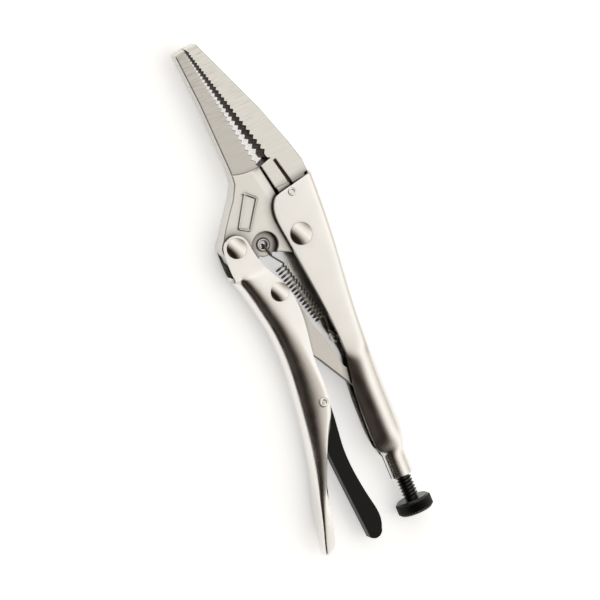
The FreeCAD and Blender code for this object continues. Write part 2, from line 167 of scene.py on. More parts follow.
def new_material(name, base, metallic, roughness):
    """A material with a Principled shader; returns it, its tree and the shader."""
    material = bpy.data.materials.new(name)
    material.use_nodes = True
    tree = material.node_tree
    shader = tree.nodes["Principled BSDF"]
    shader.inputs["Base Color"].default_value = colour(base)
    shader.inputs["Metallic"].default_value = metallic
    shader.inputs["Roughness"].default_value = roughness
    return material, tree, shader


def per_mm(size):
    """Pattern scale on Object coordinates, in metres, for details of this many mm."""
    return 1.0 / (size * MM)


print("a 1 mm grain has the scale", per_mm(1.0))

# %% [markdown]
# ## Painted shade in the corners
#
# Shade falls wherever two surfaces come close: round rivet heads, under the
# edges of the handles, inside the channels.  It is painted into the colour
# here.  An Ambient Occlusion node finds these places by itself.  It tells how
# open each spot is, and the closed ones get a dark brown, painted shade.

# %% Painted corner shade
# Painted shade: the dark brown that close corners are painted with.
PAINTED_CORNER_SHADE = "2E2620"


def paint_corner_shade(tree, shader, unshaded_colour, reach_mm):
    """Paints shade into a metal's colour where other surfaces stand close; unshaded_colour is a
    colour or a socket.
    """
    openness = add(tree, "ShaderNodeAmbientOcclusion", {"samples": 8, "Distance": reach_mm * MM})
    shade_amount = add(tree, "ShaderNodeMapRange",
               {"From Min": 0.4, "From Max": 1.0, "To Min": 1.0, "To Max": 0.0},
               {"Value": openness.outputs["AO"]})
    shade_blend = {"data_type": "RGBA", 7: colour(PAINTED_CORNER_SHADE)}
    links = {0: shade_amount.outputs["Result"]}
    if isinstance(unshaded_colour, str):
        shade_blend[6] = colour(unshaded_colour)
    else:
        links[6] = unshaded_colour
    shade = add(tree, "ShaderNodeMix", shade_blend, links)
    tree.links.new(shade.outputs[2], shader.inputs["Base Color"])


print("painted_shade colour:", PAINTED_CORNER_SHADE)

# %% [markdown]
# ## Nickel plate on pressed steel
#
# The handles and the link are stamped from sheet, tumbled and bright nickel
# plated.  Nickel is a slightly warm white metal.  Tumbling leaves a fine grain
# that softens reflections, and handling makes the gloss vary from place to
# place, so one noise drives the bump and a much larger one the roughness.

# %% Plated sheet
TUMBLED_GRAIN = 0.45    # coarser than the real 0.1 mm, or it would not show
HANDLED_PATCH = 9.0
SHEET_CORNER = 3.5


def plated_sheet(name, base):
    """To the eye: a warm white, softened mirror with a faint grain in its dark bands."""
    material, tree, shader = new_material(name, base, 1.0, 0.2)
    where = add(tree, "ShaderNodeTexCoord").outputs["Object"]
    patches = add(tree, "ShaderNodeTexNoise", {"Scale": per_mm(HANDLED_PATCH), "Detail": 4.0},
                  {"Vector": where})
    gloss = add(tree, "ShaderNodeMapRange",
                {"From Min": 0.3, "From Max": 0.7, "To Min": 0.15, "To Max": 0.27},
                {"Value": patches.outputs["Fac"]})
    tree.links.new(gloss.outputs["Result"], shader.inputs["Roughness"])
    grain = add(tree, "ShaderNodeTexNoise", {"Scale": per_mm(TUMBLED_GRAIN), "Detail": 2.0},
                {"Vector": where})
    bump = add(tree, "ShaderNodeBump", {"Strength": 0.9, "Distance": 0.05 * MM},
               {"Height": grain.outputs["Fac"]})
    tree.links.new(bump.outputs["Normal"], shader.inputs["Normal"])
    # Painted shade: the sheet's colour darkens where other surfaces stand close.
    paint_corner_shade(tree, shader, base, SHEET_CORNER)
    return material


FINISHES = {
    "plated_sheet": plated_sheet("nickel_plated_sheet", "EAE8E4"),
    "dull_plate": plated_sheet("dull_plated_link", "C6C2BC"),
}
print("plated finishes:", [m.name for m in FINISHES.values()])

# %% [markdown]
# ## Worn edges of the jaws
#
# A forged jaw has edges rounded by about a millimetre, and such an edge shows
# as a dark line because it mirrors the dark side of the room.  Bevelling every
# edge in the mesh would also blunt the teeth.  The Bevel node rounds only the
# shading, and it can be masked: here it works everywhere behind the teeth, and
# beside them only a few millimetres away from the biting line.

# %% Worn edges
EDGE_RADIUS = 1.0
SHARP_BAND, WORN_BAND = 2.2, 3.6
TEETH_FADE = 1.0


def worn_edges(tree, where, along):
    """A shading normal that is rounded at the edges, except beside the teeth."""
    rounded = add(tree, "ShaderNodeBevel", {"samples": 8, "Radius": EDGE_RADIUS * MM})
    across = add(tree, "ShaderNodeVectorMath", {"operation": "DOT_PRODUCT", 1: ACROSS_TEETH},
                 {0: where})
    off_line = add(tree, "ShaderNodeMath",
                   {"operation": "SUBTRACT", 1: place(TEETH_START, TEETH_Y).dot(ACROSS_TEETH)},
                   {0: across.outputs["Value"]})
    distance = add(tree, "ShaderNodeMath", {"operation": "ABSOLUTE"},
                   {0: off_line.outputs["Value"]})
    beside = add(tree, "ShaderNodeMapRange",
                 {"From Min": SHARP_BAND * MM, "From Max": WORN_BAND * MM},
                 {"Value": distance.outputs["Value"]})
    behind = add(tree, "ShaderNodeMapRange",
                 {"From Min": place(TEETH_START, 0).x,
                  "From Max": place(TEETH_START - TEETH_FADE, 0).x}, {"Value": along})
    worn = add(tree, "ShaderNodeMath", {"operation": "MAXIMUM"},
               {0: beside.outputs["Result"], 1: behind.outputs["Result"]})
    flat = add(tree, "ShaderNodeNewGeometry").outputs["Normal"]
    mixed = add(tree, "ShaderNodeMix", {"data_type": "VECTOR"},
                {0: worn.outputs["Value"], 4: flat, 5: rounded.outputs["Normal"]})
    return mixed.outputs[1]


print("jaw edges rounded by", EDGE_RADIUS, "mm")

# %% [markdown]
# ## Ground jaws
#
# The noses are ground flat across their length after forging, so their sides
# carry fine parallel lines, deepest near the tips, under a thin nickel plate.
# Noise that is stretched sideways gives such lines.  It drives the bump, and
# it also darkens the deepest scratches, where the plate is thin.

# %% Ground jaw
GRINDING_LINE = 0.55    # coarser than real grinding marks, so that they show
LINE_STRETCH = (1.0, 0.06, 0.3)
DEEPEST_LINES, SHALLOW_LINES = 90.0, 25.0
JAW_CORNER = 4.5


def ground_jaw(name, base):
    """To the eye: satin grey steel with fine lines that grow stronger to the tip."""
    material, tree, shader = new_material(name, base, 1.0, 0.28)
    where = add(tree, "ShaderNodeTexCoord").outputs["Object"]
    along = add(tree, "ShaderNodeSeparateXYZ", None, {"Vector": where}).outputs["X"]
    stretched = add(tree, "ShaderNodeMapping", {"Scale": LINE_STRETCH}, {"Vector": where})
    lines = add(tree, "ShaderNodeTexNoise", {"Scale": per_mm(GRINDING_LINE), "Detail": 3.0},
                {"Vector": stretched.outputs["Vector"]})
    towards_tip = add(tree, "ShaderNodeMapRange",
                      {"From Min": place(SHALLOW_LINES, 0).x,
                       "From Max": place(DEEPEST_LINES, 0).x,
                       "To Min": 0.08, "To Max": 0.8}, {"Value": along})
    bump = add(tree, "ShaderNodeBump", {"Distance": 0.3 * MM},
               {"Height": lines.outputs["Fac"], "Strength": towards_tip.outputs["Result"],
                "Normal": worn_edges(tree, where, along)})
    tree.links.new(bump.outputs["Normal"], shader.inputs["Normal"])
    depth = add(tree, "ShaderNodeMapRange",
                {"From Min": 0.5, "From Max": 0.7, "To Min": 0.0, "To Max": 0.42},
                {"Value": lines.outputs["Fac"]})
    scratches = add(tree, "ShaderNodeMath", {"operation": "MULTIPLY"},
                    {0: depth.outputs["Result"], 1: towards_tip.outputs["Result"]})
    shade = add(tree, "ShaderNodeMix", {"data_type": "RGBA", 6: colour(base),
                                        7: colour("6B6661")}, {0: scratches.outputs["Value"]})
    # Painted shade: the jaw's colour darkens where other surfaces stand close.
    paint_corner_shade(tree, shader, shade.outputs[2], JAW_CORNER)
    return material


FINISHES["ground_jaw"] = ground_jaw("ground_plated_jaw", "DCDAD4")
# A greyer copy of the ground finish for the movable jaw's nose: partly bare ground steel, partly
# painted shade.
FINISHES["ground_nose"] = ground_jaw("bare_ground_and_shaded_nose", "C3C0BA")
print("jaw finishes:", FINISHES["ground_jaw"].name, FINISHES["ground_nose"].name)

# %% [markdown]
# ## Painted shade on the teeth
#
# The bottoms of the teeth and of the cutter's slot lie in shade between the
# jaws, and that shade is painted into their colour as a dark brown.  A soft noise
# between two browns makes the painted shade darker in one place and lighter in another.


# %% Painted teeth shade
def brown_shade_material():
    """To the eye: dark, dull brown steel between the jaws; the dark brown is painted shade."""
    material, tree, shader = new_material("brown_painted_shade", "3A302A", 1.0, 0.45)
    where = add(tree, "ShaderNodeTexCoord").outputs["Object"]
    shade_blend = add(tree, "ShaderNodeTexNoise", {"Scale": per_mm(1.5), "Detail": 2.0},
               {"Vector": where})
    shade = add(tree, "ShaderNodeMix", {"data_type": "RGBA", 6: colour("241C18"),
                                        7: colour("55483F")}, {0: shade_blend.outputs["Fac"]})
    tree.links.new(shade.outputs[2], shader.inputs["Base Color"])
    return material


# Painted shade: this dark brown goes on the teeth, the cutter's slot and the link's side faces.
FINISHES["cut_teeth"] = brown_shade_material()
print("teeth finish:", FINISHES["cut_teeth"].name)

# %% [markdown]
# ## Polished rivets and spring wire
#
# Rivet heads are formed in a polished die, so they are the brightest mirrors
# on the tool, with only the faintest waviness.  Spring wire is drawn through a
# die and tempered: it is greyer, and its gloss changes along the wire.


# %% Rivets and wire
def rivet_steel():
    """To the eye: a small bright mirror that shows the whole room in one dome."""
    material, tree, shader = new_material("polished_rivet_steel", "E2DFDA", 1.0, 0.1)
    where = add(tree, "ShaderNodeTexCoord").outputs["Object"]
    waves = add(tree, "ShaderNodeTexNoise", {"Scale": per_mm(1.6), "Detail": 2.0},
                {"Vector": where})
    bump = add(tree, "ShaderNodeBump", {"Strength": 0.08, "Distance": 0.03 * MM},
               {"Height": waves.outputs["Fac"]})
    tree.links.new(bump.outputs["Normal"], shader.inputs["Normal"])
    return material


def spring_wire():
    """To the eye: mid-grey wire with short glints that break up along each turn."""
    material, tree, shader = new_material("drawn_spring_wire", "8E8A86", 1.0, 0.3)
    where = add(tree, "ShaderNodeTexCoord").outputs["Object"]
    streaks = add(tree, "ShaderNodeTexNoise", {"Scale": per_mm(0.5)}, {"Vector": where})
    gloss = add(tree, "ShaderNodeMapRange", {"To Min": 0.22, "To Max": 0.4},
                {"Value": streaks.outputs["Fac"]})
    tree.links.new(gloss.outputs["Result"], shader.inputs["Roughness"])
    return material


FINISHES["rivet_steel"] = rivet_steel()
FINISHES["spring_wire"] = spring_wire()
print("bright finishes:", FINISHES["rivet_steel"].name, FINISHES["spring_wire"].name)

# %% [markdown]
# ## The black parts
#
# The release lever has a baked black coat with a soft sheen and a fine
# orange-peel skin.  The adjusting screw is blackened with hot oxide, which is
# thinner and glossier.  Both are dark and non-metallic to the shader, because
# the black layer hides the steel, so one function serves both.


# %% Black finishes
def black_finish(name, base, roughness, sheen, grain_mm, strength):
    """To the eye: nearly black, with a weak highlight that the grain breaks up."""
    material, tree, shader = new_material(name, base, 0.0, roughness)
    shader.inputs["Specular IOR Level"].default_value = sheen
    where = add(tree, "ShaderNodeTexCoord").outputs["Object"]
    grain = add(tree, "ShaderNodeTexNoise", {"Scale": per_mm(grain_mm), "Detail": 3.0},
                {"Vector": where})
    bump = add(tree, "ShaderNodeBump", {"Strength": strength, "Distance": 0.05 * MM},
               {"Height": grain.outputs["Fac"]})
    tree.links.new(bump.outputs["Normal"], shader.inputs["Normal"])
    return material


FINISHES["black_lever"] = black_finish("black_coated_lever", "0B0B0B", 0.4, 0.18, 0.6, 0.12)
FINISHES["black_oxide"] = black_finish("black_oxide_screw", "0A0A0A", 0.28, 0.5, 0.4, 0.2)
print("all finishes:", [m.name for m in FINISHES.values()])

# %% [markdown]
# ## Turning a bmesh into a piece
#
# Every piece is drawn in plan millimetres about the main rivet, because that
# is how a toolmaker dimensions it.  This helper scales it to metres, moves it
# to the main rivet, smooths it and gives it a finish, a body and the CAD
# nodes that it stands for.  Edges sharper than the given angle stay crisp.


# %% Piece helper
def piece_from(mesh, name, finish, body, stands_for=(), crease=35.0, to_frame=True):
    """Makes an object of a bmesh and hands it to the frame."""
    if to_frame:
        bmesh.ops.scale(mesh, vec=(MM, MM, MM), verts=mesh.verts)
        bmesh.ops.translate(mesh, vec=MAIN, verts=mesh.verts)
    for face in mesh.faces:
        face.smooth = True
    for edge in mesh.edges:
        edge.smooth = len(edge.link_faces) != 2 or edge.calc_face_angle() < math.radians(crease)
    data = bpy.data.meshes.new(name)
    mesh.to_mesh(data)
    mesh.free()
    item = bpy.data.objects.new(name, data)
    bpy.context.scene.collection.objects.link(item)
    data.materials.append(FINISHES[finish])
    if body:
        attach(item, body)
    if stands_for:
        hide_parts(*stands_for)
    print(name, len(data.polygons), "faces")
    return item


# %% [markdown]
# Some pieces are finished by modifiers, which stay live, so their numbers can
# still be changed.  Solidify gives a skin the wall of the sheet, Bevel takes
# the sharpness off its cut edges, and Subdivision Surface smooths the bends.

# %% Modifiers
SHEET_WALL, CUT_EDGE, SKIN_LEVELS = 1.8, 0.3, 2


def finish_sheet(item):
    """Gives a pressed skin its wall, its dulled edges and its smooth bends."""
    wall = item.modifiers.new("wall", "SOLIDIFY")
    wall.thickness = SHEET_WALL * MM
    wall.offset = -1.0
    wall.use_even_offset = True
    edge = item.modifiers.new("rounded_edges", "BEVEL")
    edge.width = CUT_EDGE * MM
    edge.segments = 2
    edge.limit_method = "ANGLE"
    edge.angle_limit = math.radians(50.0)
    skin = item.modifiers.new("smooth_skin", "SUBSURF")
    skin.levels = SKIN_LEVELS
    skin.render_levels = SKIN_LEVELS


print("handles are pressed from", SHEET_WALL, "mm sheet")

# %% [markdown]
# ## The pressed handles
#
# Each handle is one strip of steel pressed into a channel, and its section
# changes all the way along.  Cutting it out of a box would lose the bends, so
# it is drawn like a press tool would meet it: as half sections at stations
# along the handle, each with its own depth, width and bend.

# %% Channel section
BEND_ANGLES = (22.5, 45.0, 67.5, 90.0)
LIP_STEPS = ((0.35, 0.14), (0.75, 0.6), (1.0, 1.0))
LEAST_WEB = 1.5


def half_section(x_web, x_open, web, edge, half, bend, lip):
    """Nine points from the middle of the web, round the bend, to the open edge."""
    side = 1.0 if edge > web else -1.0
    rise = min(bend, half - LEAST_WEB)
    ring = [(web, 0.0), (web, half - rise)]
    for angle in BEND_ANGLES:
        turn = math.radians(angle)
        ring.append((web + side * bend * (1.0 - math.cos(turn)),
                     half - rise + rise * math.sin(turn)))
    start = ring[-1][0]
    for part, drop in LIP_STEPS:
        ring.append((start + (edge - start) * part, half - lip * drop))
    reach = edge - web
    return [Vector((x_web + (x_open - x_web) * (y - web) / reach, y, z)) for y, z in ring]


print("a section has", len(half_section(0.0, 0.0, -10.0, 5.0, 8.0, 5.0, 1.0)), "points")

# %% [markdown]
# At its tail the fixed handle is rolled into a sleeve for the screw.  The
# sleeve has as many points as the channel, so one grows into the other.

# %% Sleeve section
SLEEVE_STEPS = 8


def sleeve_section(x, centre, radius, gap):
    """Nine points round a rolled sleeve that stays open by a narrow slot."""
    ring = []
    for step in range(SLEEVE_STEPS + 1):
        turn = math.radians((180.0 - gap) * step / SLEEVE_STEPS)
        ring.append(Vector((x, centre - radius * math.cos(turn), radius * math.sin(turn))))
    return ring


print("a sleeve has", len(sleeve_section(0.0, 0.0, 5.0, 8.0)), "points")

# %% [markdown]
# The half section at the tail is extruded from station to station.  Mirroring
# gives the other half.  Mirrored faces come out inside out, so the normals are
# recalculated, and the web's normal is checked to point away from the opening,
# because the wall grows inwards from it.


# %% Extruding a channel
def pressed_channel(rows, ear_rows=()):
    """A skin extruded row by row, with flat ears at its front, mirrored about z = 0."""
    skin = bmesh.new()
    ends = [skin.verts.new(point) for point in rows[0]]
    chain = [skin.edges.new(pair) for pair in zip(ends, ends[1:])]
    for row in [*rows[1:], *ear_rows]:
        ends = ends[-len(row):]
        chain = chain[len(chain) - len(row) + 1:]
        fresh = bmesh.ops.extrude_edge_only(skin, edges=chain)["geom"]
        born = {v for v in fresh if isinstance(v, bmesh.types.BMVert)}
        ends = [next(e.other_vert(old) for e in old.link_edges if e.other_vert(old) in born)
                for old in ends]
        chain = [skin.edges.get(pair) for pair in zip(ends, ends[1:])]
        for corner, point in zip(ends, row):
            corner.co = point
    bmesh.ops.mirror(skin, geom=skin.verts[:] + skin.edges[:] + skin.faces[:],
                     axis="Z", merge_dist=0.001)
    bmesh.ops.recalc_face_normals(skin, faces=skin.faces)
    web = min(skin.faces, key=lambda face: abs(face.calc_center_median().z))
    inwards = rows[-1][-1].y - rows[-1][0].y
    if web.normal.y * inwards > 0.0:
        bmesh.ops.reverse_faces(skin, faces=skin.faces)
    print("a skin of", len(skin.faces), "faces")
    return skin


# %% [markdown]
# The fixed handle: a flat-sided channel round the jaw, a shoulder where it
# swells into a round grip, and a rolled sleeve for the adjusting screw.  Each
# row of numbers is one station, and the sleeve's rows come before them.

# %% Fixed handle stations
FIXED_STATIONS = [
    # x at web, x at edge, web y, edge y, half width, bend, lip
    (-102.0, -102.0, -8.0, 3.9, 5.9, 4.6, 1.0),
    (-99.2, -99.2, -8.9, 5.0, 7.3, 5.8, 1.3),
    (-96.4, -96.4, -9.4, 5.3, 8.5, 6.6, 3.9),
    (-90.0, -90.0, -9.7, 5.4, 8.8, 7.0, 4.4),
    (-80.0, -80.0, -9.7, 5.0, 8.9, 7.0, 4.2),
    (-70.6, -70.6, -9.7, 4.5, 8.9, 6.8, 3.0),
    (-62.5, -62.5, -9.7, 3.1, 8.85, 6.2, 2.9),
    (-58.5, -58.5, -9.7, 2.4, 8.6, 5.4, 2.4),
    (-55.5, -56.5, -9.7, 2.0, 7.6, 4.2, 0.9),
    (-52.5, -53.5, -9.7, 1.8, 7.35, 3.6, 0.3),
    (-44.0, -44.0, -10.0, 2.0, 7.3, 3.4, 0.2),
    (-34.0, -34.0, -10.8, 2.7, 7.3, 3.3, 0.2),
    (-23.0, -23.0, -11.9, 3.9, 7.3, 3.2, 0.2),
    (-10.0, -10.0, -13.3, 5.4, 7.3, 3.0, 0.2),
    (2.0, 1.1, -14.2, 6.7, 7.3, 3.0, 0.2),
    (11.0, 9.5, -14.6, 8.0, 7.3, 3.0, 0.2),
    (17.5, 15.4, -14.9, 7.1, 7.3, 3.0, 0.2),
    (21.0, 18.2, -15.0, 5.0, 7.3, 3.0, 0.2),
    (22.6, 19.4, -15.1, 3.4, 7.3, 3.0, 0.2),
]
SCREW_Y, SLEEVE_RADIUS, SLEEVE_GAP = -2.2, 5.2, 8.0
SLEEVE_PLACES = (-115.0, -114.2, -109.0, -104.2)
SLEEVE_ROWS = [sleeve_section(x, SCREW_Y, SLEEVE_RADIUS, SLEEVE_GAP) for x in SLEEVE_PLACES]
handle_skin = pressed_channel(SLEEVE_ROWS + [half_section(*row) for row in FIXED_STATIONS])

# %% [markdown]
# The far cheek is drawn a little deeper beside the spring, so that it shows
# behind the coil.  Mirroring made both cheeks alike, so the far one is moved
# afterwards: most at its edge and near the middle of the spring, and not at
# all at its foot or farther along the handle.

# %% Fixed handle
DEEPER, DEEP_MIDDLE, DEEP_REACH = 4.2, -28.0, 25.0
FAR_SIDE, CHEEK_FOOT, CHEEK_RISE = -6.0, -6.0, 9.0
for vert in handle_skin.verts:
    share = 1.0 - ((vert.co.x - DEEP_MIDDLE) / DEEP_REACH) ** 2
    if vert.co.z < FAR_SIDE and vert.co.y > CHEEK_FOOT and share > 0.0:
        vert.co.y += DEEPER * share * (vert.co.y - CHEEK_FOOT) / CHEEK_RISE
fixed_handle = piece_from(handle_skin, "fixed_handle_shell", "plated_sheet", "fixed_side",
                          ["fixed_handle"], 80.0)
finish_sheet(fixed_handle)

# %% [markdown]
# The movable handle: a fuller, rounder channel that ends in a thumb rest.
# Each row of numbers is one station again, from the tail to the front.

# %% Movable handle stations
MOVABLE_STATIONS = [
    # x at web, x at edge, web y, edge y, half width, bend, lip
    (-132.8, -131.4, 42.4, 38.9, 3.2, 0.9, 0.3),
    (-132.0, -129.8, 42.9, 37.6, 4.4, 1.0, 0.3),
    (-129.0, -127.5, 42.6, 36.9, 5.4, 1.1, 0.3),
    (-121.0, -120.5, 40.4, 35.4, 6.9, 1.3, 0.3),
    (-111.0, -111.0, 38.0, 33.4, 7.7, 2.2, 0.5),
    (-105.0, -105.0, 36.5, 31.8, 7.9, 3.9, 1.2),
    (-100.0, -100.0, 35.3, 29.8, 8.1, 5.2, 2.0),
    (-92.0, -92.0, 33.6, 26.2, 8.3, 6.6, 2.4),
    (-84.0, -84.0, 32.0, 22.0, 8.5, 8.4, 1.8),
    (-77.0, -77.0, 30.8, 18.2, 8.5, 10.4, 0.8),
    (-69.0, -69.0, 29.6, 15.9, 8.5, 12.0, 0.2),
    (-58.0, -58.0, 28.4, 15.9, 8.5, 10.6, 0.2),
    (-50.0, -50.0, 27.9, 15.9, 8.4, 9.6, 0.2),
    (-41.0, -41.0, 27.9, 14.2, 8.2, 8.8, 0.2),
    (-33.0, -33.0, 28.6, 13.1, 7.9, 8.0, 0.2),
    (-25.5, -25.5, 30.1, 12.9, 7.8, 7.4, 0.2),
    (-19.5, -19.5, 31.3, 14.1, 7.8, 7.0, 0.2),
    (-14.5, -14.5, 32.5, 16.0, 7.8, 6.6, 0.2),
    (-9.4, -9.4, 34.1, 18.6, 7.7, 6.2, 0.2),
    (-8.4, -8.4, 34.4, 19.2, 7.7, 6.0, 0.2),
]
print(len(MOVABLE_STATIONS), "stations")

# %% [markdown]
# The web stops short at the front, where only two flat ears hold the jaw.
# The ears are more rows of the same extrusion, and the last one is an arc
# round the jaw's rivet.

# %% Movable handle
EAR_HALF, EAR_TOP, EAR_RADIUS, EAR_START = 7.3, 34.4, 5.7, 95.0
EAR_EDGES = ((-7.5, 19.6), (-3.5, 21.2), (1.5, 22.4))
EAR_PARTS = (0.0, 0.12, 0.27, 0.42, 0.6, 0.85, 1.0)
ARC_PARTS = (0.0, 0.17, 0.34, 0.5, 0.67, 0.84, 1.0)
ear_rows = [[Vector((x, EAR_TOP + (y - EAR_TOP) * part, EAR_HALF)) for part in EAR_PARTS]
            for x, y in EAR_EDGES]
ear_rows.append([Vector((LUG_X + EAR_RADIUS * math.cos(math.radians(EAR_START - 180.0 * part)),
                         LUG_Y + EAR_RADIUS * math.sin(math.radians(EAR_START - 180.0 * part)),
                         EAR_HALF)) for part in ARC_PARTS])
handle_skin = pressed_channel([half_section(*row) for row in MOVABLE_STATIONS], ear_rows)
movable_handle = piece_from(handle_skin, "movable_handle_shell", "plated_sheet",
                            "movable_handle", ["movable_handle"], 80.0)
finish_sheet(movable_handle)

# %% [markdown]
# ## Forged and blanked parts
#
# The jaws, the link and the lever keep the exact outlines of the CAD model.
# A copy of the CAD mesh arrives as loose triangles, so it is merged, its flat
# faces are joined again and its sharp edges are rounded, as a grinder's or a
# tumbler's pass would leave them.  Long edges may get a wider bevel than the
# small ones between teeth.  The far side of the teeth may also lean over.

# %% Copies with rounded edges
SHARP_ANGLE, LONG_EDGE = 50.0, 6.0
LEAN_START, LEAN_LOW, LEAN_HIGH, LEAN_FADE = 34.6, -3.2, 1.0, 45.0


def lean_far_teeth(mesh, lean):
    """Moves the far side of a jaw's teeth towards the other jaw, least near the tip."""
    for vert in mesh.verts:
        spot = (vert.co - MAIN) / MM
        share = min(1.0, (TEETH_END - spot.x) / LEAN_FADE)
        above = spot.y - biting_line(spot.x)
        if spot.x > LEAN_START and spot.z < 0.0 and LEAN_LOW < above < LEAN_HIGH:
            vert.co.y += lean * share * MM


def rounded_copy(node, name, finish, body, round_off, segments=2, outer=0.0, lean=0.0):
    """A copy of a CAD node with its sharp edges bevelled, in millimetres."""
    mesh = bmesh.new()
    mesh.from_mesh(frame["nodes"][node].data)
    bmesh.ops.remove_doubles(mesh, verts=mesh.verts, dist=0.002 * MM)
    bmesh.ops.dissolve_limit(mesh, angle_limit=math.radians(1.0), verts=mesh.verts,
                             edges=mesh.edges, delimit=set())
    if lean:
        lean_far_teeth(mesh, lean)
    for shortest, width in ((LONG_EDGE, outer or round_off), (0.0, round_off)):
        sharp = [e for e in mesh.edges if len(e.link_faces) == 2
                 and e.calc_length() > shortest * MM
                 and e.calc_face_angle() > math.radians(SHARP_ANGLE)]
        bmesh.ops.bevel(mesh, geom=sharp, offset=width * MM, segments=segments, profile=0.5,
                        affect="EDGES", clamp_overlap=True, material=-1)
    item = piece_from(mesh, name, finish, body, [node], 40.0, to_frame=False)
    flats = item.modifiers.new("flat_faces", "WEIGHTED_NORMAL")
    flats.keep_sharp = True
    return item


print("edges sharper than", SHARP_ANGLE, "degrees are rounded")

# %% [markdown]
# Each jaw keeps its teeth crisp with a narrow bevel and gets a wider one
# along its long edges.  The movable jaw is the more rounded of the two.  The
# far teeth of the fixed jaw are drawn leaning over, so that their dark brown,
# painted shade, shows between the jaws and not the white table.

# %% Jaws
fixed_jaw = rounded_copy("fixed_jaw", "fixed_jaw_forging", "ground_jaw", "fixed_side", 0.2,
                         outer=0.7, lean=1.7)
movable_jaw = rounded_copy("movable_jaw", "movable_jaw_forging", "ground_jaw", "movable_jaw",
                           0.2, outer=1.1)

# %% [markdown]
# The jaws have more than one finish.  A mesh can carry several materials, and
# each face names one by its index.  The biting faces and the cutter's slot
# get a dark brown that is painted shade, and the tapered flats of the movable jaw
# a greyer copy of the ground finish, partly bare ground steel and partly painted
# shade.  The faces are found by where they are and which way they look.

# %% Dark and ground faces
MOUTH, TEETH_LENGTH, TEETH_DEPTH = 2.6, 56.5, 3.6
MOUTH_BACK, MOUTH_FRONT = 10.0, 91.5
SLOT_BACK, SLOT_FRONT, SLOT_TOP, SLOT_SIDE, SLOT_AREA = 15.0, 34.0, 1.0, 4.2, 40.0
NOSE_START, NOSE_SIDE = 34.0, 4.5


def paint_shade_on_teeth(jaw, towards):
    """Paints shade, a dark brown, on the upright faces of a jaw's biting edge and on the
    cutter's slot.
    """
    jaw.data.materials.append(FINISHES["cut_teeth"])
    dark = 0
    for face in jaw.data.polygons:
        spot = (face.center - MAIN) / MM
        middle = MOUTH * (1.0 - (spot.x - TEETH_START) / TEETH_LENGTH)
        near_gap = abs(spot.y - biting_line(spot.x) - middle) < TEETH_DEPTH
        biting = MOUTH_BACK < spot.x < MOUTH_FRONT and near_gap \
            and abs(face.normal.z) < 0.6 and face.normal.y * towards > -0.2
        slotted = towards > 0.0 and SLOT_BACK < spot.x < SLOT_FRONT and spot.y < SLOT_TOP \
            and abs(spot.z) < SLOT_SIDE and face.area < SLOT_AREA * MM * MM
        if biting or slotted:
            face.material_index = 1
            dark += 1
    print(jaw.name, dark, "dark faces")


def grind_and_shade_nose(jaw):
    """Gives a jaw's tapered flats a greyer copy of the ground finish: bare ground steel, with
    painted shade for flats that tilt from the light.
    """
    jaw.data.materials.append(FINISHES["ground_nose"])
    for face in jaw.data.polygons:
        spot = (face.center - MAIN) / MM
        if spot.x > NOSE_START and abs(face.normal.z) > 0.9 and abs(spot.z) < NOSE_SIDE:
            face.material_index = 2


paint_shade_on_teeth(fixed_jaw, 1.0)
paint_shade_on_teeth(movable_jaw, -1.0)
grind_and_shade_nose(movable_jaw)

# %% [markdown]
# ## Link and lever
#
# The toggle link is blanked from thick plate.  Its edges lie in shade inside
# the handles, and that shade is painted on them as a dark brown, while its faces
# are plated but dull, because it rubs inside the handles.  The release lever is a
# thick blank with well-rounded edges, since it is pushed by a finger.

# %% Link and lever
SHADED_SIDE_LIMIT = 0.9
link = rounded_copy("toggle_link", "toggle_link_blank", "dull_plate", "toggle_link", 0.5, 3)
link.data.materials.append(FINISHES["cut_teeth"])
# Painted shade: the side faces of the link get the dark brown.
for face in link.data.polygons:
    if abs(face.normal.z) < SHADED_SIDE_LIMIT:
        face.material_index = 1
rounded_copy("release_lever", "release_lever_blank", "black_lever", "release_lever", 0.8, 4)

# %% [markdown]
# ## Rivets and pins
#
# A rivet head is a turned shape, so half its outline is spun once round the
# rivet's axis, which a lathe would do too.  The outline runs from the crown
# of one head, down the shank, to the crown of the other.


# %% Spinning an outline
def spun(outline, x, y, steps=48):
    """Spins an outline of (radius, height) points about an upright axis."""
    mesh = bmesh.new()
    chain = [mesh.verts.new((x + radius, y, height)) for radius, height in outline]
    edges = [mesh.edges.new(pair) for pair in zip(chain, chain[1:])]
    bmesh.ops.spin(mesh, geom=chain + edges, cent=(x, y, 0.0), axis=(0.0, 0.0, 1.0),
                   angle=2.0 * math.pi, steps=steps, use_merge=True)
    bmesh.ops.remove_doubles(mesh, verts=mesh.verts, dist=0.001)
    bmesh.ops.recalc_face_normals(mesh, faces=mesh.faces)
    return mesh


def both_ends(outline):
    """Adds the mirror image of an upper outline, lowest point last."""
    return outline + [(radius, -height) for radius, height in reversed(outline)]


def body_of(node):
    """The body that a CAD node belongs to."""
    bodies = frame["record"]["behaviour"]["bodies"]
    return next(body for body, nodes in bodies.items() if node in nodes)


print("the main rivet rides on", body_of("main_rivet"))

# %% [markdown]
# The head is a cap of a sphere.  Its rise above the cheek and its radius give
# the sphere.  The points lie closer together near the rim, which keeps the
# turn from the dome into the steep side narrow.

# %% Rivets
HEAD_PARTS = (0.0, 0.2, 0.4, 0.6, 0.8, 0.93, 0.98)
RIM_LOW, RIM_UNDER, RIM_TUCK = 0.05, 0.2, 0.12


